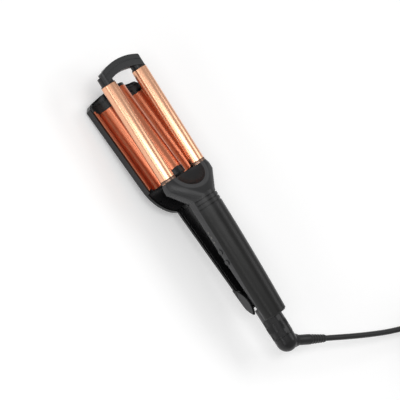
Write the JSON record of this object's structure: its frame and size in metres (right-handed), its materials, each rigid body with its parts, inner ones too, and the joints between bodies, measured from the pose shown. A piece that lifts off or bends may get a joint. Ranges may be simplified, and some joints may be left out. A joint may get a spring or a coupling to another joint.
{
  "type": "hair waver",
  "caption": "Hand-held hair waver with two heated barrels on a round handle that close into a hinged two-channel heated jaw, with a turning cord outlet.",
  "frame": {"origin": "middle of the length from the tip bow to the cord elbow, on the middle plane between the barrels, at the height of the jaw's lowest corner when it stands open", "axes": "+X along the barrels towards their tips, +Y to the side with the two buttons, +Z from the jaw up to the barrels"},
  "size_m": [0.5923, 0.2954, 0.07],
  "materials": {
    "soft_black": "soft-touch black plastic",
    "gloss_black": "smooth black heat-resistant plastic",
    "grey_plastic": "satin dark grey plastic",
    "copper_coat": "polished copper-coloured ceramic coating on aluminium",
    "brown_insulator": "brown heat-resistant ring",
    "satin_metal": "satin metal",
    "bare_aluminium": "bare aluminium",
    "heater_white": "white ceramic-filled heater and bracket",
    "probe_resin": "brown resin-coated sensor bead",
    "board_green": "green circuit board",
    "part_grey": "dark moulded electronic parts",
    "light_lens": "milky light guide",
    "lead_red": "red insulated lead",
    "brush_resin": "brown resin brush holder",
    "ring_brass": "plain brass",
    "bumper_rubber": "black rubber",
    "cord_rubber": "black flexible sheath"
  },
  "bodies": {
    "handle": {"upper_shell": "soft_black", "lower_shell": "grey_plastic", "yoke_bowl": "grey_plastic", "barrel_left": "copper_coat", "barrel_right": "copper_coat", "barrel_trim_rings": "satin_metal", "barrel_insulators": "brown_insulator", "barrel_carrier": "heater_white", "heater_cores": "bare_aluminium", "barrel_heaters": "heater_white", "barrel_probe": "probe_resin", "tip_plugs": "gloss_black", "tip_bridge": "gloss_black", "bridge_screws": "satin_metal", "circuit_board": "board_green", "power_parts": "part_grey", "board_screws": "satin_metal", "button_switches": "satin_metal", "heat_lights": "light_lens", "handle_screws": "satin_metal", "board_leads": "lead_red", "swivel_collar": "gloss_black", "brush_block": "brush_resin", "hinge_pin": "satin_metal", "hinge_spring": "satin_metal"},
    "power_button": {"power_button": "grey_plastic"},
    "heat_button": {"heat_button": "grey_plastic"},
    "clamp": {"clamp_shell": "gloss_black", "wave_plate": "copper_coat", "tip_cap": "soft_black", "base_block": "gloss_black", "plate_saddles": "bare_aluminium", "plate_heaters": "heater_white", "plate_probe": "probe_resin", "lever_cover": "gloss_black", "lever_leads": "lead_red", "hinge_caps": "grey_plastic", "clamp_screws": "satin_metal", "closing_pads": "bumper_rubber"},
    "swivel": {"swivel_elbow": "gloss_black", "slip_rings": "ring_brass", "swivel_clip": "satin_metal", "strain_relief": "cord_rubber", "mains_cord": "cord_rubber", "cord_coil": "cord_rubber", "cord_tie": "soft_black", "plug_lead": "cord_rubber", "plug_body": "soft_black", "plug_pins": "satin_metal"}
  },
  "joints": [
    {"name": "clamp_hinge", "type": "hinge", "parent": "handle", "child": "clamp", "pos_m": [-0.115, 0, 0.03642], "axis": [0, 1, 0], "range_deg": [-6, 0], "stiffness_Nm_per_rad": 0.4, "springref_deg": 5.73},
    {"name": "cord_swivel", "type": "hinge", "parent": "handle", "child": "swivel", "pos_m": [-0.167, 0, 0.04402], "axis": [1, 0, 0], "continuous": true},
    {"name": "power_press", "type": "slide", "parent": "handle", "child": "power_button", "axis": [0, -1, 0], "range_m": [0, 0.0008], "stiffness_N_per_m": 500},
    {"name": "heat_press", "type": "slide", "parent": "handle", "child": "heat_button", "axis": [0, -1, 0], "range_m": [0, 0.0008], "stiffness_N_per_m": 500}
  ]
}
